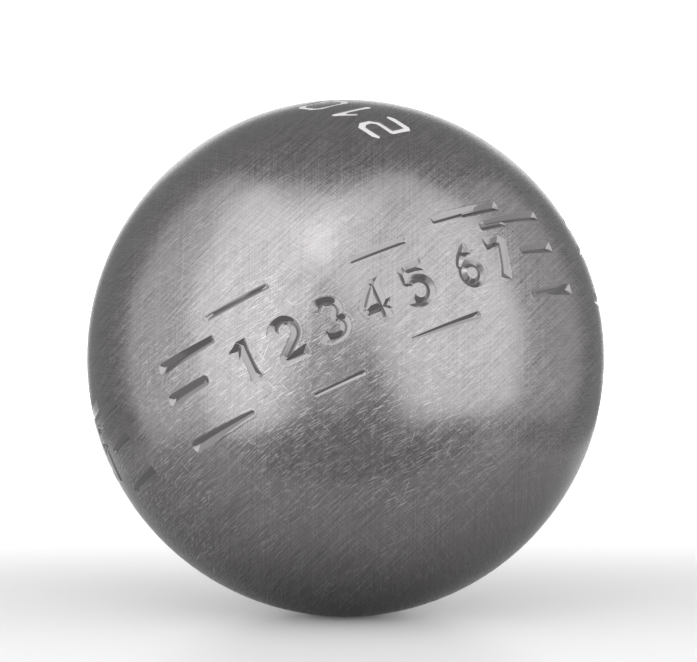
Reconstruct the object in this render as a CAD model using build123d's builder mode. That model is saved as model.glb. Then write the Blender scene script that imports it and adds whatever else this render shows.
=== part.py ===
from build123d import *

import math
import os

# A steel petanque boule: two pressed half shells joined by one weld, ground round and marked.
# Millimetres, +Z up. The origin is the centre of the ball, which lies as it does on the ground.
# The weld stands upright, in the plane of X and Z, so the front half shell faces -Y.
# The marks lie in a belt round the ball. The belt's own axis leans away from upright.

# The ball
ball_diameter = 74.0
wall = 6.15

# The weld between the two bevelled rims
weld_face_width = 5.0
weld_root_gap = 1.2
root_bead_width = 2.4
root_bead_height = 0.7

# The belt of marks: how it leans, and how often its pattern comes round
belt_lean_back = -16.3
belt_lean_left = -23.8
belt_turn = -143.8
belt_repeats = 3

# The V grooves of the belt
groove_width = 1.8
groove_depth = 0.72
groove_end_slope = 55.0
groove_stations = 5

# The digits of the belt, cut with the same V
digit_height = 5.9
digit_width = 4.3
digit_stroke_width = 1.25
digit_flare_share = 0.25
digit_latitude = -2.2
digit_longitudes = (29.5, 39.5, 49.5, 59.5, 69.5, 82.6, 91.6)
arc_step = 24.0

# The row of flat-bottomed digits on the cap
cap_digit_height = 5.9
cap_digit_width = 3.9
cap_slot_width = 1.0
cap_slot_depth = 0.2
cap_row_longitude = 88.0
cap_row_latitudes = (39.3, 49.3, 59.3)
cap_digits = (2, 1, 0)

# How far every cutter stands clear of the ball
overrun = 0.1

# Sizes that follow from these
ball_radius = ball_diameter / 2
bore_radius = ball_radius - wall
cutter_reach = ball_radius + overrun

# The dashes of one repeat: start and end longitude, latitude, and the width at each end as a share
# of the groove width
dash_places_and_shares = (
    (7.6, 25.9, -12.4, 1.0, 0.35),
    (7.8, 19.7, -1.5, 1.0, 0.78),
    (8.6, 24.7, 5.5, 0.97, 0.63),
    (24.5, 40.4, 10.2, 0.54, 0.5),
    (39.5, 51.6, -15.2, 0.22, 0.42),
    (58.0, 71.4, 7.7, 0.5, 0.5),
    (63.6, 80.9, -12.5, 0.2, 0.67),
    (79.0, 91.6, 9.9, 0.55, 0.6),
    (86.6, 98.1, 9.6, 0.66, 0.8),
    (89.8, 97.2, 5.5, 0.6, 0.62),
    (91.4, 110.0, 6.1, 0.5, 0.83),
    (96.8, 112.4, -11.3, 0.55, 1.0),
    (98.0, 109.8, -1.6, 0.55, 0.97),
)


def straight(start, end):
    """Points of a straight stroke, as shares of a digit's width and height from its middle."""
    return [(start[0] + (end[0] - start[0]) * step / 2, start[1] + (end[1] - start[1]) * step / 2)
            for step in range(3)]


def bow(middle, reach, start_angle, end_angle):
    """Points of a curved stroke, as shares of a digit's width and height from its middle."""
    steps = math.ceil(abs(end_angle - start_angle) / arc_step)
    turn = [math.radians(start_angle + (end_angle - start_angle) * step / steps)
            for step in range(steps + 1)]
    return [(middle[0] + reach[0] * math.cos(a), middle[1] + reach[1] * math.sin(a)) for a in turn]


# The strokes of each belt digit
digit_stroke_shares = {
    1: (straight((-0.34, 0.2), (0.14, 0.46)), straight((0.04, 0.5), (0.04, -0.5))),
    2: (bow((0.0, 0.14), (0.36, 0.26), 165, -35), straight((0.3, 0.04), (-0.42, -0.44)),
        straight((-0.5, -0.4), (0.5, -0.4))),
    3: (bow((-0.04, 0.2), (0.34, 0.2), 155, -70), bow((-0.04, -0.2), (0.4, 0.22), 65, -155)),
    4: (straight((0.2, 0.5), (0.2, -0.5)), straight((0.24, 0.46), (-0.44, -0.24)),
        straight((-0.5, -0.18), (0.5, -0.18))),
    5: (straight((-0.4, 0.4), (0.42, 0.4)), straight((-0.3, 0.46), (-0.34, -0.02)),
        bow((-0.04, -0.14), (0.38, 0.27), 145, -155)),
    6: (bow((0.32, -0.14), (0.68, 0.58), 95, 165),),
    7: (straight((-0.5, 0.4), (0.46, 0.4)), straight((0.34, 0.46), (-0.14, -0.5))),
}

# The closed ring of a belt digit: its middle and its radius, as a share of the digit's height
digit_ring_shares = {6: ((0.0, -0.15), 0.25)}

# The centre lines of the cap digits: squared figures, with their round corners taken off
cap_digit_shares = {
    2: ((-0.5, 0.5), (0.3, 0.5), (0.5, 0.36), (0.5, 0.14), (0.3, 0.0), (-0.5, 0.0), (-0.5, -0.5),
        (0.5, -0.5)),
    1: ((-0.3, 0.12), (0.1, 0.5), (0.1, -0.5)),
    0: ((0.3, 0.5), (-0.3, 0.5), (-0.5, 0.36), (-0.5, -0.36), (-0.3, -0.5), (0.3, -0.5),
        (0.5, -0.36), (0.5, 0.36), (0.3, 0.5)),
}


def ball_plane(longitude, latitude):
    """Plane that touches the ball in the belt's frame: x goes round, y to the pole, z outward."""
    spot = Plane(Location((0, 0, 0), (0, 0, longitude)) * Location((0, 0, 0), (0, -latitude, 0)))
    return Plane(origin=spot.x_dir * ball_radius, x_dir=spot.y_dir, z_dir=spot.x_dir)


def v_corners(width, lean=0.0):
    """Corners of a V across a groove: x across it, y outward, stretched where its plane leans."""
    depth = groove_depth * width / groove_width
    stretch = 1 / math.cos(math.radians(lean))
    top_half_width = (width / 2) * (depth + overrun) / depth
    top = overrun * stretch
    return (-top_half_width, top), (0, -depth * stretch), (top_half_width, top)


def groove(points, widths):
    """Cutter for a V groove along points on the ball, with a sloping facet at each end.

    Its walls keep one angle, so a groove is deeper where it is wider.
    """
    last = len(points) - 1
    with BuildPart() as cutter:
        for index, (point, width) in enumerate(zip(points, widths)):
            outward = point.normalized()
            chord = points[min(index + 1, last)] - points[max(index - 1, 0)]
            along = (chord - outward * chord.dot(outward)).normalized()
            across = outward.cross(along)
            lean = groove_end_slope * ((index == last) - (index == 0))
            normal = along.rotate(Axis((0, 0, 0), across), lean)
            with BuildSketch(Plane(point, x_dir=across, z_dir=normal)):
                Polygon(*v_corners(width, lean), align=None)
        loft(ruled=True)
    return cutter.part


def ring_groove(face, middle, radius, width):
    """Cutter for a V groove that runs in a circle on the ball, round a point of a touching plane."""
    hub = face.from_local_coords(middle).normalized()
    across = face.x_dir.cross(hub).normalized()
    point = hub.rotate(Axis((0, 0, 0), across), math.degrees(radius / ball_radius))
    with BuildPart() as cutter:
        with BuildSketch(Plane(point * ball_radius, x_dir=point.cross(across), z_dir=across)):
            Polygon(*v_corners(width), align=None)
        revolve(axis=Axis((0, 0, 0), hub))
    return cutter.part


def dash(start, end, latitude, start_share, end_share):
    """Cutter for one dash, which follows a circle of latitude."""
    steps = [station / (groove_stations - 1) for station in range(groove_stations)]
    points = [ball_plane(start + (end - start) * step, latitude).origin for step in steps]
    widths = [groove_width * (start_share + (end_share - start_share) * step) for step in steps]
    return groove(points, widths)


def belt_digit(digit, longitude):
    """Cutters for one belt digit, whose strokes flare at their ends."""
    face = ball_plane(longitude, digit_latitude)
    cutters = []
    for stroke in digit_stroke_shares[digit]:
        places = [face.from_local_coords((digit_width * x, digit_height * y)) for x, y in stroke]
        points = [place.normalized() * ball_radius for place in places]
        flared_width = digit_stroke_width * (1 + digit_flare_share)
        widths = [flared_width] + [digit_stroke_width] * (len(points) - 2) + [flared_width]
        cutters.append(groove(points, widths))
    if digit in digit_ring_shares:
        (x, y), radius_share = digit_ring_shares[digit]
        middle = (digit_width * x, digit_height * y)
        cutters.append(ring_groove(face, middle, digit_height * radius_share, digit_stroke_width))
    return cutters


def cap_digit(digit, latitude):
    """Cutter for one cap digit. Its row climbs to the pole, so its foot points round the ball."""
    face = ball_plane(cap_row_longitude, latitude)
    upright = Plane(face.offset(-cap_slot_depth).origin, x_dir=face.y_dir, z_dir=face.z_dir)
    line = [(cap_digit_width * x, cap_digit_height * y) for x, y in cap_digit_shares[digit]]
    with BuildPart() as cutter:
        with BuildSketch(upright):
            for start, end in zip(line, line[1:]):
                middle = ((start[0] + end[0]) / 2, (start[1] + end[1]) / 2)
                SlotCenterPoint(center=middle, point=end, height=cap_slot_width)
        extrude(amount=cap_slot_depth + overrun)
    return cutter.part


# The marks of one repeat of the belt, and of the cap, as cutters
with BuildPart() as belt_marks:
    add([dash(*row) for row in dash_places_and_shares])
    for digit, longitude in enumerate(digit_longitudes, start=1):
        add(belt_digit(digit, longitude))

with BuildPart() as cap_marks:
    for digit, latitude in zip(cap_digits, cap_row_latitudes):
        add(cap_digit(digit, latitude))

# The whole ball, marked, before it is divided. The poles of its outside lie inside the weld,
# and those of its bore on the Y axis, so that no groove meets one.
belt = Plane.XY.rotated((belt_lean_back, belt_lean_left, belt_turn))
with BuildPart() as ball:
    Sphere(ball_radius)
    Sphere(bore_radius, rotation=(90, 0, 0), mode=Mode.SUBTRACT)
    with Locations(belt):
        add(cap_marks.part, mode=Mode.SUBTRACT)
        with PolarLocations(0, belt_repeats):
            add(belt_marks.part, mode=Mode.SUBTRACT)

# The weld's section between the bevelled rims: x outward from the Y axis, y along it
with BuildSketch() as weld_section:
    with BuildLine():
        Polyline(
            (0, -weld_root_gap / 2),
            (bore_radius, -weld_root_gap / 2),
            (cutter_reach, -weld_face_width / 2),
            (cutter_reach, weld_face_width / 2),
            (bore_radius, weld_root_gap / 2),
            (0, weld_root_gap / 2),
            close=True,
        )
    make_face()

# The half shells
with BuildPart() as front_half_shell:
    add(ball.part)
    revolve(weld_section.sketch, axis=Axis.Y, mode=Mode.SUBTRACT)
    split(bisect_by=Plane.XZ, keep=Keep.TOP)

with BuildPart() as rear_half_shell:
    add(ball.part)
    revolve(weld_section.sketch, axis=Axis.Y, mode=Mode.SUBTRACT)
    split(bisect_by=Plane.XZ, keep=Keep.BOTTOM)

# The weld, flush with the ball outside and with a rounded root bead inside
with BuildPart() as weld_bead:
    with BuildSketch():
        add(weld_section.sketch)
        Circle(ball_radius, mode=Mode.INTERSECT)
        Circle(bore_radius, mode=Mode.SUBTRACT)
    with BuildSketch():
        with Locations((bore_radius, 0)):
            Ellipse(root_bead_height, root_bead_width / 2)
        Circle(bore_radius, mode=Mode.INTERSECT)
    revolve(axis=Axis.Y)
    with Locations(belt):
        add(cap_marks.part, mode=Mode.SUBTRACT)
        with PolarLocations(0, belt_repeats):
            add(belt_marks.part, mode=Mode.SUBTRACT)

front_half_shell.part.label = "front_half_shell"
rear_half_shell.part.label = "rear_half_shell"
weld_bead.part.label = "weld_bead"

os.makedirs("parts", exist_ok=True)
for piece in (front_half_shell, rear_half_shell, weld_bead):
    export_step(piece.part, f"parts/{piece.part.label}.step")
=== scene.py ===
import math

import bmesh
import bpy
from mathutils import Matrix, Vector
from mathutils.kdtree import KDTree


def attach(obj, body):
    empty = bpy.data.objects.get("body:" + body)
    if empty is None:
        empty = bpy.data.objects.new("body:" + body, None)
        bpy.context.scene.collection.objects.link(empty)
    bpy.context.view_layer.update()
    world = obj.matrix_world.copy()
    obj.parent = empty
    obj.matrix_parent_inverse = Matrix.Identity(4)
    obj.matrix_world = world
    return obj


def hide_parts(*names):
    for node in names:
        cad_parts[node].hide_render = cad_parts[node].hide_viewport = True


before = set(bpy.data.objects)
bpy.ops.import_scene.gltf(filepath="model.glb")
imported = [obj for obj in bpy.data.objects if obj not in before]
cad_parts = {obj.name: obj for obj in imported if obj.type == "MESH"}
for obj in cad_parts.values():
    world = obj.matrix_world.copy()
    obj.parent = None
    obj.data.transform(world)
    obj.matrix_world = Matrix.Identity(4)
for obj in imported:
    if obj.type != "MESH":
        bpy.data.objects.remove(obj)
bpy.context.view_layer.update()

# Everything is shaped in millimetres and turned into metres when a piece is finished.
MM = 0.001

# The ball, as in the part
BALL_RADIUS = 37.0
BORE_RADIUS = 30.85
WELD_FACE_WIDTH = 5.0
WELD_ROOT_GAP = 1.2
ROOT_BEAD_WIDTH = 2.4
ROOT_BEAD_HEIGHT = 0.7

# The belt's lean and turn, and how often its marks repeat round the ball
BELT_REPEATS = 3
BELT = (
    Matrix.Rotation(math.radians(-16.3), 3, "X")
    @ Matrix.Rotation(math.radians(-23.8), 3, "Y")
    @ Matrix.Rotation(math.radians(-143.8), 3, "Z")
)

# The belt's grooves and digits
GROOVE_WIDTH = 1.8
GROOVE_DEPTH = 0.52
DIGIT_HEIGHT = 5.9
DIGIT_WIDTH = 4.3
DIGIT_STROKE = 1.35
DIGIT_FLARE = 0.45
FLARE_LENGTH = 1.9
FLARE_POWER = 1.5
DIGIT_STEEPNESS = 1.2
DIGIT_LATITUDE = -2.2
DIGIT_LONGITUDES = (29.5, 39.5, 49.5, 59.5, 69.5, 82.6, 91.6)

# How blunt a groove's end is: 2 is a round cone, and a large number is a flat facet
ROUND_END = 2.0
FLAT_END = 12.0

# The bright digits on the cap
CAP_HEIGHT = 5.9
CAP_WIDTH = 3.9
CAP_SLOT_WIDTH = 1.0
CAP_SLOT_DEPTH = 0.2
CAP_LONGITUDE = 88.0
CAP_LATITUDES = (39.3, 49.3, 59.3)
CAP_DIGITS = (2, 1, 0)

# The soft burr that the tool raised beside every groove: its height, how far out it has risen, where
# it starts to fall and where it ends
LIP_HEIGHT = 0.02
LIP_RISE = 0.1
LIP_SOFTNESS = 0.08
LIP_CREST = 0.16
LIP_REACH = 0.42

# How far from a groove's end its burr starts, as a share of half the groove's width
END_MARGIN_SHARE = 0.9

# Rolled top edge of a groove, and how much of a narrow groove it may take
EDGE_ROLL = 0.09
EDGE_ROLL_SHARE = 0.22

# How finely things are divided
STROKE_SPACING = 0.4
BURR_SPACING = 0.1
TANGENT_STEP = 0.25
SLOPE_STEP = 0.02
SAME_STATION = 0.02
SAME_POINT = 1e-4
DASH_STEPS = 8
BOW_DEGREES = 12
RING_STEPS = 40
SLOT_STEPS = 24
BEAD_STEPS = 12
BORE_STEPS = 30
SPIN_STEPS = 180
BALL_SUBDIVISIONS = 6

# The angle between two faces, in degrees, past which their edge is sharp
SHARP_ANGLE = 32

# How far the cutters reach out of the ball
GROOVE_OVERRUN = 0.4
SLOT_OVERRUN = 0.6
BLANK_OVERRUN = 3.0

# Bands beside the grooves, as gaps from their edges, in which the ball's faces are split in turn
FINE_BANDS = ((-9.0, 2.2), (-9.0, 1.4), (-0.6, 0.85))

# Start and end longitude, latitude, the width at each end as a share of the groove width, and how
# blunt each end is
DASHES = (
    (7.6, 25.9, -12.4, 1.0, 0.35, 2.2, 3.0),
    (7.8, 19.7, -1.5, 1.0, 0.78, 2.2, 2.4),
    (8.6, 24.7, 5.5, 0.97, 0.63, 2.2, 6.0),
    (24.5, 40.4, 10.2, 0.54, 0.5, 3.0, 3.0),
    (39.5, 51.6, -15.2, 0.22, 0.42, 3.0, 3.0),
    (58.0, 71.4, 7.7, 0.5, 0.5, 3.0, 3.0),
    (63.6, 80.9, -12.5, 0.2, 0.67, 3.0, 3.0),
    (79.0, 91.6, 9.9, 0.55, 0.6, 3.0, 8.0),
    (86.6, 98.1, 9.6, 0.66, 0.8, 8.0, 6.0),
    (89.8, 97.2, 5.5, 0.6, 0.62, 4.0, 8.0),
    (91.4, 110.0, 6.1, 0.5, 0.83, 8.0, 5.0),
    (96.8, 112.4, -11.3, 0.55, 1.0, 3.0, 5.0),
    (98.0, 109.8, -1.6, 0.55, 0.97, 3.0, 5.0),
)
# Dashes that run into the one before them, so they are cut after it
LATER_DASHES = (8, 10)


def straight(start, end):
    """Points of a straight stroke, as shares of a digit's width and height."""
    return [
        (start[0] + (end[0] - start[0]) * step / 2, start[1] + (end[1] - start[1]) * step / 2)
        for step in range(3)
    ]


def bow(middle, reach, start, end):
    """Points of a curved stroke, as shares of a digit's width and height."""
    steps = math.ceil(abs(end - start) / BOW_DEGREES)
    angles = [math.radians(start + (end - start) * step / steps) for step in range(steps + 1)]
    return [(middle[0] + reach[0] * math.cos(a), middle[1] + reach[1] * math.sin(a)) for a in angles]


# Each stroke with how far its start and its end flare: 1 at a free end and 0 where strokes meet
DIGIT_STROKES = {
    1: ((straight((-0.34, 0.2), (0.08, 0.44)), 1, 0), (straight((0.08, 0.5), (0.08, -0.5)), 0.4, 1)),
    2: (
        (bow((0.0, 0.18), (0.38, 0.28), 170, -40) + straight((0.2, -0.06), (-0.42, -0.42)), 1, 0),
        (straight((-0.46, -0.42), (0.5, -0.42)), 0, 1),
    ),
    3: (
        (bow((-0.04, 0.22), (0.36, 0.22), 160, -80), 1, 0),
        (bow((-0.04, -0.2), (0.42, 0.24), 80, -160), 0, 1),
    ),
    4: (
        (straight((0.18, 0.5), (0.18, -0.52)), 0.4, 0.6),
        (straight((0.16, 0.44), (-0.46, -0.16)), 0, 0),
        (straight((-0.48, -0.18), (0.5, -0.18)), 0, 0.4),
    ),
    5: (
        (straight((-0.32, 0.42), (0.42, 0.42)), 0, 1),
        (straight((-0.3, 0.46), (-0.34, 0.02)), 0.3, 0),
        (bow((-0.04, -0.14), (0.4, 0.29), 140, -155), 0, 1),
    ),
    6: ((bow((0.32, -0.14), (0.7, 0.6), 98, 168), 1, 0),),
    7: ((straight((-0.46, 0.42), (0.36, 0.42)), 1, 0), (straight((0.34, 0.46), (-0.12, -0.5)), 0.3, 1)),
}
# Middle of a digit's closed ring, and its radius as a share of the digit's height
DIGIT_RINGS = {6: ((0.0, -0.15), 0.25)}

# Corners of the cap's digits, as shares of their width and height
CAP_LINES = {
    2: (
        (-0.5, 0.5), (0.3, 0.5), (0.5, 0.36), (0.5, 0.14), (0.3, 0.0), (-0.5, 0.0), (-0.5, -0.5),
        (0.5, -0.5),
    ),
    1: ((-0.3, 0.12), (0.1, 0.5), (0.1, -0.5)),
    0: (
        (0.3, 0.5), (-0.3, 0.5), (-0.5, 0.36), (-0.5, -0.36), (-0.3, -0.5), (0.3, -0.5),
        (0.5, -0.36), (0.5, 0.36), (0.3, 0.5),
    ),
}

# Sections of a groove's run-out, from its very end at nearly 1 to its full depth at 0
RUN_OUT_STEPS = (0.985, 0.93, 0.82, 0.65, 0.4, 0.2, 0.0)

# The steels of a piece, by material index
SURFACE, GROOVE, SLOT_FLOOR = 0, 1, 2


# Places on the ball
def turn_of(repeat):
    """Turn from the belt's frame, at one of its repeats, to the ball's frame."""
    return BELT @ Matrix.Rotation(2 * math.pi * repeat / BELT_REPEATS, 3, "Z")


def face_at(longitude, latitude):
    """Touching point, east, north and outward of a place on the belt."""
    lon, lat = math.radians(longitude), math.radians(latitude)
    outward = Vector((math.cos(lat) * math.cos(lon), math.cos(lat) * math.sin(lon), math.sin(lat)))
    east = Vector((-math.sin(lon), math.cos(lon), 0))
    return outward * BALL_RADIUS, east, outward.cross(east), outward


def on_face(face, x, y):
    """Point of the ball over a point of a touching face."""
    origin, east, north, _ = face
    return (origin + east * x + north * y).normalized() * BALL_RADIUS


def stations_of(points, spacing):
    """Evenly spaced points of the ball along a line of points, with each one's distance along it."""
    lengths = [(b - a).length for a, b in zip(points, points[1:])]
    count = max(2, math.ceil(sum(lengths) / spacing))
    placed = []
    for step in range(count + 1):
        ahead = sum(lengths) * step / count
        index = 0
        while index < len(lengths) - 1 and ahead > lengths[index]:
            ahead -= lengths[index]
            index += 1
        share = min(1.0, ahead / lengths[index])
        place = points[index].lerp(points[index + 1], share)
        placed.append((place.normalized() * BALL_RADIUS, sum(lengths) * step / count))
    return placed


def dash_line(start, end, latitude, start_share, end_share, *bluntness):
    """Centre line, widths, bluntness and steepness of a dash."""
    steps = [step / DASH_STEPS for step in range(DASH_STEPS + 1)]
    points = [face_at(start + (end - start) * s, latitude)[0] for s in steps]
    widths = [GROOVE_WIDTH * (start_share + (end_share - start_share) * s) for s in steps]
    return points, widths, bluntness, 1.0


def digit_lines(digit, longitude):
    """Centre line, widths, bluntness and steepness of each of a digit's strokes."""
    face = face_at(longitude, DIGIT_LATITUDE)
    lines = []
    for stroke, start_flare, end_flare in DIGIT_STROKES[digit]:
        corners = [on_face(face, DIGIT_WIDTH * x, DIGIT_HEIGHT * y) for x, y in stroke]
        placed = stations_of(corners, STROKE_SPACING)
        total = placed[-1][1]
        widths = []
        for _, along in placed:
            near_start = max(0.0, 1 - along / FLARE_LENGTH) ** FLARE_POWER * start_flare
            near_end = max(0.0, 1 - (total - along) / FLARE_LENGTH) ** FLARE_POWER * end_flare
            widths.append(DIGIT_STROKE * (1 + DIGIT_FLARE * (near_start + near_end)))
        bluntness = [FLAT_END if flare else ROUND_END for flare in (start_flare, end_flare)]
        lines.append(([point for point, _ in placed], widths, bluntness, DIGIT_STEEPNESS))
    return lines


def ring_of(digit, longitude):
    """Hub of a digit's ring, and its centre line on the ball."""
    (x, y), share = DIGIT_RINGS[digit]
    face = face_at(longitude, DIGIT_LATITUDE)
    hub = on_face(face, DIGIT_WIDTH * x, DIGIT_HEIGHT * y).normalized()
    start = hub.copy()
    start.rotate(Matrix.Rotation(DIGIT_HEIGHT * share / BALL_RADIUS, 3, face[1].cross(hub).normalized()))
    points = []
    for step in range(RING_STEPS + 1):
        point = start.copy()
        point.rotate(Matrix.Rotation(2 * math.pi * step / RING_STEPS, 3, hub))
        points.append(point * BALL_RADIUS)
    return hub, points


# Where the marks of the steel fade out towards the poles of their direction, as shares of the radius
POLE_SHARE = 0.93
WAIST_SHARE = 0.7

# How far each layer of lines is moved from the one before it, so that no two layers match
LAYER_SHIFT = (1.7, 2.3, 3.1)


# Materials
class Signal:
    """A shader socket that takes part in sums as a number or a vector would."""

    def __init__(self, tree, socket):
        self.tree = tree
        self.socket = socket

    def node(self, kind, settings=None, inputs=None, output=0):
        """Add any other node to the tree and give back one of its outputs."""
        node = self.tree.nodes.new(kind)
        for key, value in (settings or {}).items():
            setattr(node, key, value)
        for key, value in (inputs or {}).items():
            if isinstance(value, Signal):
                self.tree.links.new(value.socket, node.inputs[key])
            else:
                node.inputs[key].default_value = value
        return Signal(self.tree, node.outputs[output])

    def maths(self, operation, *others):
        """A Math node on this signal and up to two more."""
        inputs = dict(enumerate((self,) + others))
        return self.node("ShaderNodeMath", {"operation": operation}, inputs)

    def __add__(self, other):
        return self.maths("ADD", other)

    def __sub__(self, other):
        return self.maths("SUBTRACT", other)

    def __mul__(self, other):
        return self.maths("MULTIPLY", other)

    def __rsub__(self, other):
        return self.maths("MULTIPLY_ADD", -1.0, other)

    __radd__ = __add__
    __rmul__ = __mul__

    def ramp(self, low, high):
        """Smooth rise from 0 at low to 1 at high."""
        return self.node(
            "ShaderNodeMapRange", {"interpolation_type": "SMOOTHSTEP"}, {0: self, 1: low, 2: high}
        )

    def moved(self, distance):
        """This place, moved by the same distance along every axis."""
        return self.node("ShaderNodeMapping", {}, {"Vector": self, "Location": (distance,) * 3})

    def towards(self, way):
        """How far this place lies along a direction."""
        return self.node(
            "ShaderNodeVectorMath", {"operation": "DOT_PRODUCT"}, {0: self, 1: way}, output="Value"
        )

    def beside(self, facing):
        """1 round the ball's waist about a direction, falling to 0 towards its poles."""
        way = Vector(facing).normalized() / (BALL_RADIUS * MM)
        return self.towards(way).maths("ABSOLUTE").ramp(POLE_SHARE, WAIST_SHARE)

    def noise(self, scale, detail=2.0, roughness=0.5):
        """Even noise, of so many cells a metre."""
        return self.node(
            "ShaderNodeTexNoise", {},
            {"Vector": self, "Scale": scale, "Detail": detail, "Roughness": roughness},
        )

    def lines(self, facing, fineness, length, seed, detail=0.0):
        """Noise drawn out into lines that lie square to a direction, where they cross the ball.

        Fineness is how many lines a metre holds, and length how long a line is in metres.
        """
        turn = Vector(facing).rotation_difference(Vector((0, 0, 1))).to_euler()
        turned = self.node("ShaderNodeMapping", {}, {"Vector": self, "Rotation": turn})
        drawn = self.node(
            "ShaderNodeMapping", {},
            {
                "Vector": turned,
                "Location": tuple(seed * shift for shift in LAYER_SHIFT),
                "Scale": (1 / length, 1 / length, fineness),
            },
        )
        return drawn.noise(1.0, detail)


def mix(amount, low, high):
    """Colour between two others."""
    return amount.node("ShaderNodeMix", {"data_type": "RGBA"}, {0: amount, 6: low, 7: high}, output=2)


def blank_material(name):
    """Material with its surface shader and the object's coordinates."""
    material = bpy.data.materials.new(name)
    material.use_nodes = True
    tree = material.node_tree
    tree.nodes.clear()
    output = tree.nodes.new("ShaderNodeOutputMaterial")
    shader = tree.nodes.new("ShaderNodeBsdfPrincipled")
    tree.links.new(shader.outputs[0], output.inputs[0])
    coordinates = tree.nodes.new("ShaderNodeTexCoord")
    return material, tree, shader, Signal(tree, coordinates.outputs["Object"])


def feed(tree, shader, **values):
    """Link signals to a shader, or set plain values on it."""
    for key, value in values.items():
        socket = shader.inputs[key.replace("_", " ")]
        if isinstance(value, Signal):
            tree.links.new(value.socket, socket)
        else:
            socket.default_value = value


BLACK = (0.0, 0.0, 0.0, 1.0)
ACROSS = (1.0, 0.0, 0.0)
BELT_AXIS = tuple(BELT @ Vector((0, 0, 1)))

# The side on which the ball is scratched most, and where the scratches grow along it, in metres
WORN_SIDE = (-0.36, -0.74, -0.57)
WORN_FROM = 0.016
WORN_TO = 0.034
UNWORN_SHARE = 0.2

# The hairlines: the direction that they lie square to, lines a metre, length in metres and depth
HAIRLINES = (
    (ACROSS, 8400.0, 0.012, 0.42),
    (BELT_AXIS, 8200.0, 0.005, 0.45),
    ((-0.72, 0.1, 0.7), 8400.0, 0.007, 0.85),
    ((0.55, 0.3, 0.78), 8200.0, 0.004, 0.45),
)

# The scratches: the direction that they lie square to, lines a metre, length in metres, how rare
# they are, and how much they shine
SCRATCHES = (
    (BELT_AXIS, 11500.0, 0.0017, 0.725, 1.0),
    ((-0.47, 0.3, 0.83), 11500.0, 0.0021, 0.735, 1.0),
    ((-0.55, 0.2, 0.81), 11500.0, 0.0015, 0.745, 1.0),
    ((0.75, 0.1, 0.65), 10000.0, 0.0027, 0.77, 0.6),
    ((-0.9, 0.2, 0.35), 10000.0, 0.003, 0.77, 0.6),
)

# How far the noise that draws them has to rise or fall for a hairline, and for a scratch to show
HAIR_RISE = 0.18
SCRATCH_RISE = 0.05

# The patches in which the scratches lie: how many a metre holds, how far they are moved, in metres,
# and where their noise sets in
PATCH_FINENESS = 60.0
PATCH_SHIFT = 0.013
PATCH_FROM = 0.3
PATCH_TO = 0.66

# The mottle and the larger clouds of the steel: how many a metre holds
MOTTLE_FINENESS = 140.0
CLOUD_FINENESS = 32.0

# What each mark adds to the steel's tone
HAIR_TONE = 0.19
MOTTLE_TONE = 0.1
SCRATCH_TONE = 2.0

# What each mark adds to the steel's roughness
HAIR_ROUGHNESS = 0.05
MOTTLE_ROUGHNESS = 0.08
SCRATCH_ROUGHNESS = 0.2
CLOUD_ROUGHNESS = 0.1

# The dents of the scratches, with the distance in metres
SCRATCH_DENT = 0.6
BUMP_STRENGTH = 0.2
BUMP_DISTANCE = 0.00001


def hairlines(place):
    """Crossing layers of fine grinding lines, about 0."""
    grain = 0.0
    for seed, (facing, fineness, length, depth) in enumerate(HAIRLINES, start=1):
        hair = place.lines(facing, fineness, length, seed, detail=1.0)
        hair = hair.ramp(0.5, 0.5 + HAIR_RISE) - hair.ramp(0.5, 0.5 - HAIR_RISE)
        grain = hair * place.beside(facing) * depth + grain
    return grain


def scratches(place):
    """Short bright scratches in patches, most of them on the worn side."""
    scratch = None
    for seed, (facing, fineness, length, rare, shine) in enumerate(SCRATCHES, start=5):
        line = place.lines(facing, fineness, length, seed).ramp(rare, rare + SCRATCH_RISE)
        line = line * place.beside(facing) * shine
        scratch = line if scratch is None else scratch.maths("MAXIMUM", line)
    worn = place.towards(WORN_SIDE).ramp(WORN_FROM, WORN_TO) * (1 - UNWORN_SHARE) + UNWORN_SHARE
    patches = place.moved(PATCH_SHIFT).noise(PATCH_FINENESS).ramp(PATCH_FROM, PATCH_TO)
    return scratch * patches * worn


def steel(name, base, roughness, wear, metallic=1.0, edge=0.8):
    """Ground steel: fine hairlines all over, short bright scratches and a slow mottle.

    Wear is how strongly the marks show, and edge how bright the steel is at grazing angles.
    """
    material, tree, shader, place = blank_material(name)
    grain = hairlines(place)
    scratch = scratches(place) * wear
    mottle = place.noise(MOTTLE_FINENESS, 4.0, 0.6) - 0.5
    cloud = place.noise(CLOUD_FINENESS) - 0.5
    tone = grain * (HAIR_TONE * wear) + mottle * (MOTTLE_TONE * wear) + scratch * SCRATCH_TONE + 1.0
    blur = grain * (HAIR_ROUGHNESS * wear) + scratch * SCRATCH_ROUGHNESS + mottle * MOTTLE_ROUGHNESS
    twice = tuple(2 * c for c in base) + (1.0,)
    bump = place.node(
        "ShaderNodeBump", {},
        {"Strength": BUMP_STRENGTH, "Distance": BUMP_DISTANCE, "Height": scratch * -SCRATCH_DENT},
    )
    feed(
        tree, shader, Metallic=metallic, Normal=bump, Specular_Tint=(edge, edge, edge, 1.0),
        Base_Color=mix((tone * 0.5).maths("MINIMUM", 1.0), BLACK, twice),
        Roughness=blur + cloud * CLOUD_ROUGHNESS + roughness,
    )
    return material


GROUND_COLOUR = (0.272, 0.262, 0.266)
# Painted shade: the steel in the grooves and on the pieces' inner faces is a tenth darker than the
# ground steel
GROOVE_SHADE_COLOUR = tuple(c * 0.9 for c in GROUND_COLOUR)
SLOT_FLOOR_COLOUR = (0.55, 0.54, 0.54)
ground_steel = steel("ground_steel", GROUND_COLOUR, 0.26, 1.0)
shaded_groove_steel = steel("shaded_groove_steel", GROOVE_SHADE_COLOUR, 0.13, 0.0, edge=1.0)
slot_floor_steel = steel("slot_floor_steel", SLOT_FLOOR_COLOUR, 0.75, 0.0, metallic=0.0)

# In the order of the material indices
STEELS = (ground_steel, shaded_groove_steel, slot_floor_steel)


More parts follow.
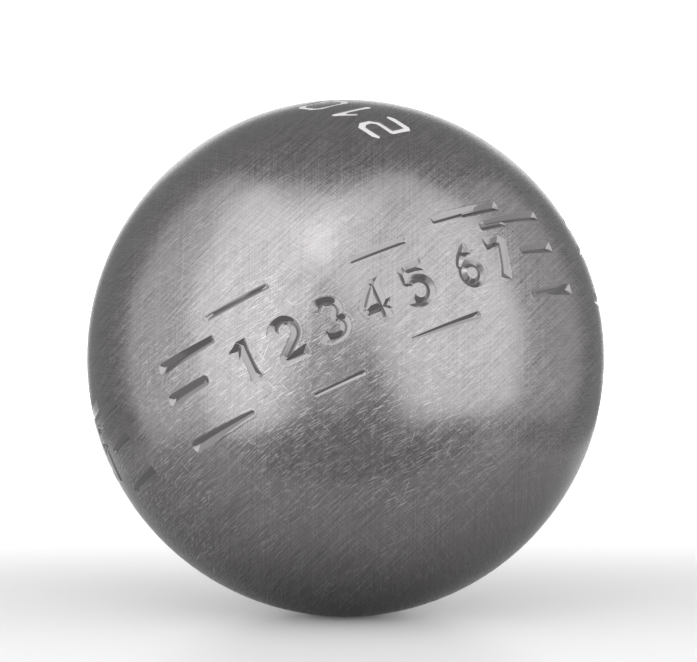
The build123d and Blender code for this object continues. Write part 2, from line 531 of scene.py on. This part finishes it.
# Cutters
def v_section(width, steepness, run_out=0.0, bluntness=ROUND_END):
    """Corners across a groove: a V with a crisp bottom and rolled top edges.

    Where the groove runs out, from 0 at its last full section to 1 at its very end, its bottom
    climbs a facet, and the corners follow the facet's edges.
    """
    half, depth = width / 2, steepness * GROOVE_DEPTH * width / GROOVE_WIDTH
    steep = depth / half
    roll = min(EDGE_ROLL, half * EDGE_ROLL_SHARE)
    reach = (1 - run_out**bluntness) ** (1 / bluntness)
    shoulder = max(0.02, reach - roll / half)
    edge = min(run_out, shoulder * 0.9)
    wall = []
    for u in (0.0, edge, edge + (shoulder - edge) * 0.45, shoulder):
        climb = (u**bluntness + run_out**bluntness) ** (1 / bluntness)
        wall.append((u * half, -depth * max(0.0, 1 - climb)))
    brink = wall[-1][1]
    rim = reach * half
    right = wall[1:] + [
        (max(rim - roll * 0.35, wall[-1][0] + 0.005), brink * 0.45),
        (rim + roll * 0.35, brink * 0.05),
        (rim + roll * 1.1, steep * roll * 0.28),
        (rim + roll * 1.5, GROOVE_OVERRUN),
    ]
    return [(-x, y) for x, y in reversed(right)] + [wall[0]] + right


def loft(bm, loops, fill_ends=True):
    """Closed body through loops of corners, with both ends filled unless they meet."""
    before = set(bm.faces)
    rows, corners = len(loops), len(loops[0])
    verts = bmesh.ops.create_grid(bm, x_segments=corners, y_segments=rows - 1, size=1)["verts"]
    for index, vert in enumerate(verts):
        row, column = divmod(index, corners + 1)
        vert.co = loops[row][column % corners]
    bmesh.ops.remove_doubles(bm, verts=verts, dist=SAME_POINT)
    faces = [face for face in bm.faces if face not in before]
    if fill_ends:
        rims = {edge for face in faces for edge in face.edges if edge.is_boundary}
        bmesh.ops.edgeloop_fill(bm, edges=list(rims))
    faces = [face for face in bm.faces if face not in before]
    bmesh.ops.recalc_face_normals(bm, faces=faces)
    for face in faces:
        face.material_index = GROOVE


def groove(bm, points, widths, bluntness, steepness, turn):
    """Cutter for a groove along points on the ball, which runs out in a facet at each end."""
    ways = [0.0]
    for a, b in zip(points, points[1:]):
        ways.append(ways[-1] + (b - a).length)
    total = ways[-1]

    def at(way):
        """Point of the ball and width of the groove, some way along it."""
        way = max(0.0, min(total, way))
        index = max(i for i, start in enumerate(ways[:-1]) if start <= way)
        share = (way - ways[index]) / (ways[index + 1] - ways[index])
        place = points[index].lerp(points[index + 1], share).normalized() * BALL_RADIUS
        return place, widths[index] + (widths[index + 1] - widths[index]) * share

    # An end facet is as long as the groove is half wide.
    first, last = widths[0] / 2, widths[-1] / 2
    steps = [(first * (1 - s), s, bluntness[0]) for s in RUN_OUT_STEPS]
    inner = [way for way in ways if first + SAME_STATION < way < total - last - SAME_STATION]
    steps += [(way, 0.0, ROUND_END) for way in inner]
    steps += [(total - last * (1 - s), s, bluntness[1]) for s in reversed(RUN_OUT_STEPS)]
    loops = []
    for way, run_out, blunt in steps:
        point, width = at(way)
        outward = point.normalized()
        chord = at(way + TANGENT_STEP)[0] - at(way - TANGENT_STEP)[0]
        along = (chord - outward * chord.dot(outward)).normalized()
        across = outward.cross(along)
        section = v_section(width, steepness, run_out, blunt)
        loops.append([turn @ (point + across * x + outward * y) for x, y in section])
    loft(bm, loops)


def ring_groove(bm, hub, points, turn):
    """Cutter for the groove of a digit's ring."""
    loops = []
    for point in points:
        outward = point.normalized()
        away = (outward - hub * outward.dot(hub)).normalized()
        away = (away - outward * away.dot(outward)).normalized()
        section = v_section(DIGIT_STROKE, DIGIT_STEEPNESS)
        loops.append([turn @ (point + away * x + outward * y) for x, y in section])
    loft(bm, loops, fill_ends=False)


def slot(bm, face, start, end, turn):
    """Cutter for one flat-bottomed stroke with round ends, between two points of a touching face."""
    origin, east, north, outward = face
    run = Vector((end[0] - start[0], end[1] - start[1]))
    before = set(bm.faces)
    ring = bmesh.ops.create_circle(
        bm, cap_ends=True, segments=SLOT_STEPS, radius=CAP_SLOT_WIDTH / 2
    )["verts"]
    for vert in ring:
        if vert.co.x > SAME_POINT:
            vert.co.x += run.length
    base = [side for side in bm.faces if side not in before]
    made = bmesh.ops.extrude_face_region(bm, geom=base)["geom"]
    lifted = [item for item in made if isinstance(item, bmesh.types.BMVert)]
    for vert in lifted:
        vert.co.z += CAP_SLOT_DEPTH + SLOT_OVERRUN
    rotation = Matrix.Rotation(math.atan2(run.y, run.x), 3, "Z")
    for vert in ring + lifted:
        flat = rotation @ vert.co
        vert.co = turn @ (
            origin
            + north * (flat.x + start[0])
            - east * (flat.y + start[1])
            + outward * (flat.z - CAP_SLOT_DEPTH)
        )
    sides = [side for side in bm.faces if side not in before]
    bmesh.ops.recalc_face_normals(bm, faces=sides)
    for side in sides:
        flat_bottom = side.normal.dot(turn @ outward) < -0.9
        side.material_index = SLOT_FLOOR if flat_bottom else GROOVE


# Bodies
def added(name, data):
    """New object of the scene, with the data that it shows."""
    thing = bpy.data.objects.new(name, data)
    bpy.context.scene.collection.objects.link(thing)
    return thing


def body(name, bm, materials):
    """Object made from a bmesh."""
    mesh = bpy.data.meshes.new(name)
    bm.to_mesh(mesh)
    bm.free()
    for material in materials:
        mesh.materials.append(material)
    return added(name, mesh)


def combine(target, tool, operation):
    """Cut a tool from a target, or keep only what both have, and leave a plain mesh."""
    change = target.modifiers.new("combine", "BOOLEAN")
    change.operation = operation
    change.solver = "MANIFOLD"
    change.object = tool
    depsgraph = bpy.context.evaluated_depsgraph_get()
    mesh = bpy.data.meshes.new_from_object(target.evaluated_get(depsgraph))
    target.modifiers.clear()
    old, target.data = target.data, mesh
    bpy.data.meshes.remove(old)
    bpy.data.objects.remove(tool)


def spun(name, outline, closed):
    """Body turned about the Y axis from (radius, y) corners, closed or with both ends on the axis."""
    bm = bmesh.new()
    start = [bm.verts.new((radius, y, 0)) for radius, y in outline]
    pairs = zip(start, start[1:] + start[:1]) if closed else zip(start, start[1:])
    edges = [bm.edges.new(pair) for pair in pairs]
    bmesh.ops.spin(
        bm, geom=start + edges, axis=(0, 1, 0), cent=(0, 0, 0), angle=2 * math.pi, steps=SPIN_STEPS,
        use_merge=True,
    )
    bmesh.ops.remove_doubles(bm, verts=bm.verts, dist=SAME_POINT)
    bmesh.ops.recalc_face_normals(bm, faces=bm.faces)
    for face in bm.faces:
        face.material_index = GROOVE
    return body(name, bm, STEELS)


# The burr beside the grooves
def centre_lines():
    """Centre line and widths of every dash, stroke and ring of one repeat of the belt."""
    lines = [dash_line(*row)[:2] for row in DASHES]
    for digit, longitude in enumerate(DIGIT_LONGITUDES, start=1):
        lines += [line[:2] for line in digit_lines(digit, longitude)]
        if digit in DIGIT_RINGS:
            points = ring_of(digit, longitude)[1]
            lines.append((points, [DIGIT_STROKE] * len(points)))
    return lines


def samples_of(points, widths):
    """Close points of a centre line, each with half the width there, but none at its open ends."""
    placed = stations_of(points, BURR_SPACING)
    total = placed[-1][1]
    closed = (points[0] - points[-1]).length < SAME_STATION
    kept = []
    for place, along in placed:
        share = along / total * (len(widths) - 1)
        index = min(int(share), len(widths) - 2)
        half = (widths[index] + (widths[index + 1] - widths[index]) * (share - index)) / 2
        margin = half * END_MARGIN_SHARE
        if closed or margin <= along <= total - margin:
            kept.append((place, half))
    return kept


samples = []
for repeat in range(BELT_REPEATS):
    turn = turn_of(repeat)
    for points, widths in centre_lines():
        samples += [(turn @ place, half) for place, half in samples_of(points, widths)]
nearest_sample = KDTree(len(samples))
for index, (place, _) in enumerate(samples):
    nearest_sample.insert(place, index)
nearest_sample.balance()


def clearance(place):
    """Distance of a point of the ball from the edge of the nearest groove."""
    return min(gap - samples[index][1] for _, index, gap in nearest_sample.find_n(place, 3))


def lip(place):
    """Height of the burr over the ball at a point of the ball."""
    gap = clearance(place)
    if gap > LIP_REACH:
        return 0.0
    rise = 0.5 + 0.5 * math.tanh((gap - LIP_RISE) / LIP_SOFTNESS)
    down = min(1.0, max(0.0, (gap - LIP_CREST) / (LIP_REACH - LIP_CREST)))
    fall = 0.5 + 0.5 * math.cos(math.pi * down)
    return LIP_HEIGHT * rise * fall


# The ball and its cutters
def uncut_ball():
    """The whole ball, with fine faces and the burr beside the grooves."""
    bm = bmesh.new()
    bmesh.ops.create_icosphere(bm, subdivisions=BALL_SUBDIVISIONS, radius=BALL_RADIUS)
    for low, high in FINE_BANDS:
        gaps = {vert: clearance(vert.co) for vert in bm.verts}
        chosen = set()
        for face in bm.faces:
            near = [gaps[vert] for vert in face.verts]
            if min(near) < high and max(near) > low:
                chosen.update(face.edges)
        bmesh.ops.subdivide_edges(bm, edges=list(chosen), cuts=1)
        bmesh.ops.triangulate(bm, faces=[face for face in bm.faces if len(face.verts) > 3])
        for vert in bm.verts:
            vert.co = vert.co.normalized() * BALL_RADIUS
    for vert in bm.verts:
        vert.co = vert.co.normalized() * (BALL_RADIUS + lip(vert.co))
        # No burr stands past the box that the plain ball fills.
        vert.co = [max(-BALL_RADIUS, min(BALL_RADIUS, x)) for x in vert.co]
    return body("marked_ball", bm, STEELS)


def cutter_sets():
    """Cutters of all grooves and slots, in sets whose members don't touch each other."""
    groove_sets = [bmesh.new() for _ in range(3)]
    slot_sets = [bmesh.new() for _ in range(2)]
    for repeat in range(BELT_REPEATS):
        turn = turn_of(repeat)
        for index, row in enumerate(DASHES):
            groove(groove_sets[index in LATER_DASHES], *dash_line(*row), turn)
        for digit, longitude in enumerate(DIGIT_LONGITUDES, start=1):
            for index, line in enumerate(digit_lines(digit, longitude)):
                groove(groove_sets[index], *line, turn)
            if digit in DIGIT_RINGS:
                ring_groove(groove_sets[1], *ring_of(digit, longitude), turn)
    for digit, latitude in zip(CAP_DIGITS, CAP_LATITUDES):
        face = face_at(CAP_LONGITUDE, latitude)
        line = [(CAP_WIDTH * x, CAP_HEIGHT * y) for x, y in CAP_LINES[digit]]
        for index, (start, end) in enumerate(zip(line, line[1:])):
            slot(slot_sets[index % 2], face, start, end, turn_of(0))
    return groove_sets + slot_sets


ball = uncut_ball()
for index, cutters in enumerate(cutter_sets()):
    combine(ball, body(f"cutters_{index}", cutters, STEELS), "DIFFERENCE")


# The three pieces
HALF_ROOT = WELD_ROOT_GAP / 2
FAR = BALL_RADIUS + BLANK_OVERRUN
# The weld's face is measured this far above the ball, as in the part.
WELD_FACE_LIFT = 0.1
BEVEL_SLOPE = (WELD_FACE_WIDTH / 2 - HALF_ROOT) / (BALL_RADIUS + WELD_FACE_LIFT - BORE_RADIUS)
FAR_HALF = HALF_ROOT + BEVEL_SLOPE * (FAR - BORE_RADIUS)


def half_blank(name, side):
    """Everything of one half shell's side, outside its bore and beyond its bevelled rim."""
    rim = math.asin(HALF_ROOT / BORE_RADIUS)
    arc = [rim + (math.pi / 2 - rim) * step / BORE_STEPS for step in range(BORE_STEPS)]
    outline = [(BORE_RADIUS * math.cos(a), side * BORE_RADIUS * math.sin(a)) for a in reversed(arc)]
    outline = [(0.0, side * BORE_RADIUS)] + outline
    outline += [(FAR, side * FAR_HALF), (FAR, side * FAR), (0.0, side * FAR)]
    return spun(name, outline, closed=False)


def weld_blank():
    """The V between the bevelled rims, with the root bead inside the bore."""
    angles = [math.pi * (0.5 + step / BEAD_STEPS) for step in range(1, BEAD_STEPS)]
    bead = [
        (BORE_RADIUS + ROOT_BEAD_HEIGHT * math.cos(a), ROOT_BEAD_WIDTH / 2 * math.sin(a))
        for a in angles
    ]
    outline = [(BORE_RADIUS, HALF_ROOT)] + bead
    outline += [(BORE_RADIUS, -HALF_ROOT), (FAR, -FAR_HALF), (FAR, FAR_HALF)]
    return spun("weld_blank", outline, closed=True)


def outward_at(place):
    """Direction that the ball's surface faces, burr and all."""
    up = place.normalized()
    base = up * BALL_RADIUS
    if clearance(base) > LIP_REACH:
        return up
    side = up.orthogonal().normalized()
    other = up.cross(side)
    here = lip(base)
    tilt_a = (lip((base + side * SLOPE_STEP).normalized() * BALL_RADIUS) - here) / SLOPE_STEP
    tilt_b = (lip((base + other * SLOPE_STEP).normalized() * BALL_RADIUS) - here) / SLOPE_STEP
    return (up - side * tilt_a - other * tilt_b).normalized()


def finish_skin(mesh):
    """Smooth normals that follow the ball, sharp groove bottoms, and metres."""
    mesh.shade_smooth()
    mesh.set_sharp_from_angle(angle=math.radians(SHARP_ANGLE))
    normals = [Vector(corner.vector) for corner in mesh.corner_normals]
    known = {}
    for face in mesh.polygons:
        if face.material_index != SURFACE:
            continue
        for corner in face.loop_indices:
            vert = mesh.loops[corner].vertex_index
            if vert not in known:
                known[vert] = outward_at(mesh.vertices[vert].co)
            normals[corner] = known[vert]
    mesh.transform(Matrix.Scale(MM, 4))
    mesh.normals_split_custom_set(normals)
    mesh.update()


for name, blank, node, slot_name in (
    ("front_shell_skin", half_blank("front_blank", -1), "front_half_shell", "shell_steel"),
    ("rear_shell_skin", half_blank("rear_blank", 1), "rear_half_shell", "shell_steel"),
    ("weld_skin", weld_blank(), "weld_bead", "weld_steel"),
):
    skin = added(name, ball.data.copy())
    combine(skin, blank, "INTERSECT")
    skin.data.name = name
    finish_skin(skin.data)
    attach(skin, "root")
    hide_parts(node)
bpy.data.objects.remove(ball)

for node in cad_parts.values():
    node.data.materials.clear()
    node.data.materials.append(ground_steel)


# Stage, in metres
# Painted shade: the floor is grey in front of, under and just behind the ball, and turns to white paper
# between these depths behind it
FAR_PAPER = (0.9, 0.9, 0.9, 1.0)
FAR_PAPER_FROM = 0.025
FAR_PAPER_TO = 0.1


def panel(name, low, high, colour, roughness, glow=0.0, sheen=0.0):
    """Flat panel of the stage between two corners, of a paper that is whiter behind the ball; on the
    floor, the colour given is painted shade in front of, under and just behind the ball.
    """
    low, high = Vector(low), Vector(high)
    bm = bmesh.new()
    verts = bmesh.ops.create_grid(bm, x_segments=1, y_segments=1, size=0.5)["verts"]
    if low.y == high.y:
        bmesh.ops.rotate(bm, verts=verts, cent=(0, 0, 0), matrix=Matrix.Rotation(math.pi / 2, 3, "X"))
    bmesh.ops.scale(bm, verts=verts, vec=high - low)
    bmesh.ops.translate(bm, verts=verts, vec=(low + high) / 2)
    material, tree, shader, place = blank_material(name + "_paper")
    depth = place.node("ShaderNodeSeparateXYZ", {}, {0: place}, output="Y")
    # On the floor the colour given is painted shade near the ball, fading to the white paper behind it
    paper = mix(depth.ramp(FAR_PAPER_FROM, FAR_PAPER_TO), colour + (1.0,), FAR_PAPER)
    feed(tree, shader, Base_Color=paper, Roughness=roughness)
    feed(tree, shader, Coat_Weight=sheen, Coat_Roughness=roughness, Sheen_Weight=sheen)
    if glow:
        seen = place.node("ShaderNodeLightPath", output="Is Camera Ray")
        seen = seen + place.node("ShaderNodeLightPath", output="Is Glossy Ray")
        seen = seen + place.node("ShaderNodeLightPath", output="Is Transmission Ray")
        lit = tuple(c * glow for c in colour) + (1.0,)
        feed(tree, shader, Emission_Color=mix(seen, BLACK, lit), Emission_Strength=1.0)
    thing = body(name, bm, [material])


# Painted shade: the floor's grey near the ball, so that the ball's underside reflects dark and a grey
# lies round its foot like a shadow
FLOOR_SHADE_GREY = (0.34, 0.34, 0.34)
FLOOR_LEVEL = -BALL_RADIUS * MM
BACKDROP_WHITE = (0.9, 0.9, 0.9)
BACKDROP_DEPTH = 1.0
panel(
    "floor", (-0.085, -0.052, FLOOR_LEVEL), (0.085, 0.3, FLOOR_LEVEL), FLOOR_SHADE_GREY,
    roughness=0.45, sheen=1.0,
)
panel(
    "backdrop", (-0.33, BACKDROP_DEPTH, -0.12), (0.33, BACKDROP_DEPTH, 0.33), BACKDROP_WHITE,
    roughness=0.8, glow=1.1,
)

# Each softbox: its azimuths and elevations, its distance, strength and roll
SOFTBOXES = (
    ("left_softbox", (-72, -18), (-25, 78), 0.6, 1.02, 8.0),
    ("left_wide_softbox", (-112, -24), (-29, 68), 0.65, 0.72, 0.0),
    ("right_softbox", (7, 82), (-21, 82), 0.6, 1.07, 11.0),
    ("right_wide_softbox", (20, 128), (-20, 60), 0.65, 0.46, 0.0),
    ("high_softbox", (-13, 9), (30, 84), 0.7, 0.4, 0.0),
    ("front_softbox", (-18, 8), (-16, 32), 0.75, 0.56, 0.0),
)


def softbox(name, azimuths, elevations, distance, strength, roll):
    """Soft light over a patch of the sky, in degrees; azimuth runs from the camera to its right."""
    az, el = (math.radians(sum(pair) / 2) for pair in (azimuths, elevations))
    width, height = (
        2 * distance * math.tan(math.radians(pair[1] - pair[0]) / 2)
        for pair in (azimuths, elevations)
    )
    light = bpy.data.lights.new(name, "AREA")
    light.shape = "RECTANGLE"
    light.size, light.size_y = width, height
    light.energy = strength * math.pi * width * height
    lamp = added(name, light)
    way = Vector((math.sin(az) * math.cos(el), -math.cos(az) * math.cos(el), math.sin(el)))
    lamp.location = way * distance
    turned = Matrix.Rotation(math.radians(roll), 4, "Z")
    lamp.rotation_euler = (way.to_track_quat("Z", "Y").to_matrix().to_4x4() @ turned).to_euler()


for row in SOFTBOXES:
    softbox(*row)

ROOM_GREY = (0.42, 0.42, 0.42, 1.0)
world = bpy.data.worlds.new("studio")
bpy.context.scene.world = world
world.use_nodes = True
background = world.node_tree.nodes["Background"]
background.inputs["Color"].default_value = ROOM_GREY
background.inputs["Strength"].default_value = 1.0

# Camera, in metres
CAMERA_DISTANCE = 0.555
CAMERA_ELEVATION = math.radians(4.5)
CAMERA_AIM = (0.00042, 0.0, 0.00387)
camera_data = bpy.data.cameras.new("camera")
camera_data.lens = 200.0
camera_data.sensor_width = 36.0
camera_data.clip_start = 0.01
camera = added("camera", camera_data)
camera.location = (
    0.0, -CAMERA_DISTANCE * math.cos(CAMERA_ELEVATION), CAMERA_DISTANCE * math.sin(CAMERA_ELEVATION),
)
camera.rotation_euler = (Vector(CAMERA_AIM) - camera.location).to_track_quat("-Z", "Y").to_euler()
bpy.context.scene.camera = camera
bpy.context.scene.view_settings.view_transform = "Standard"
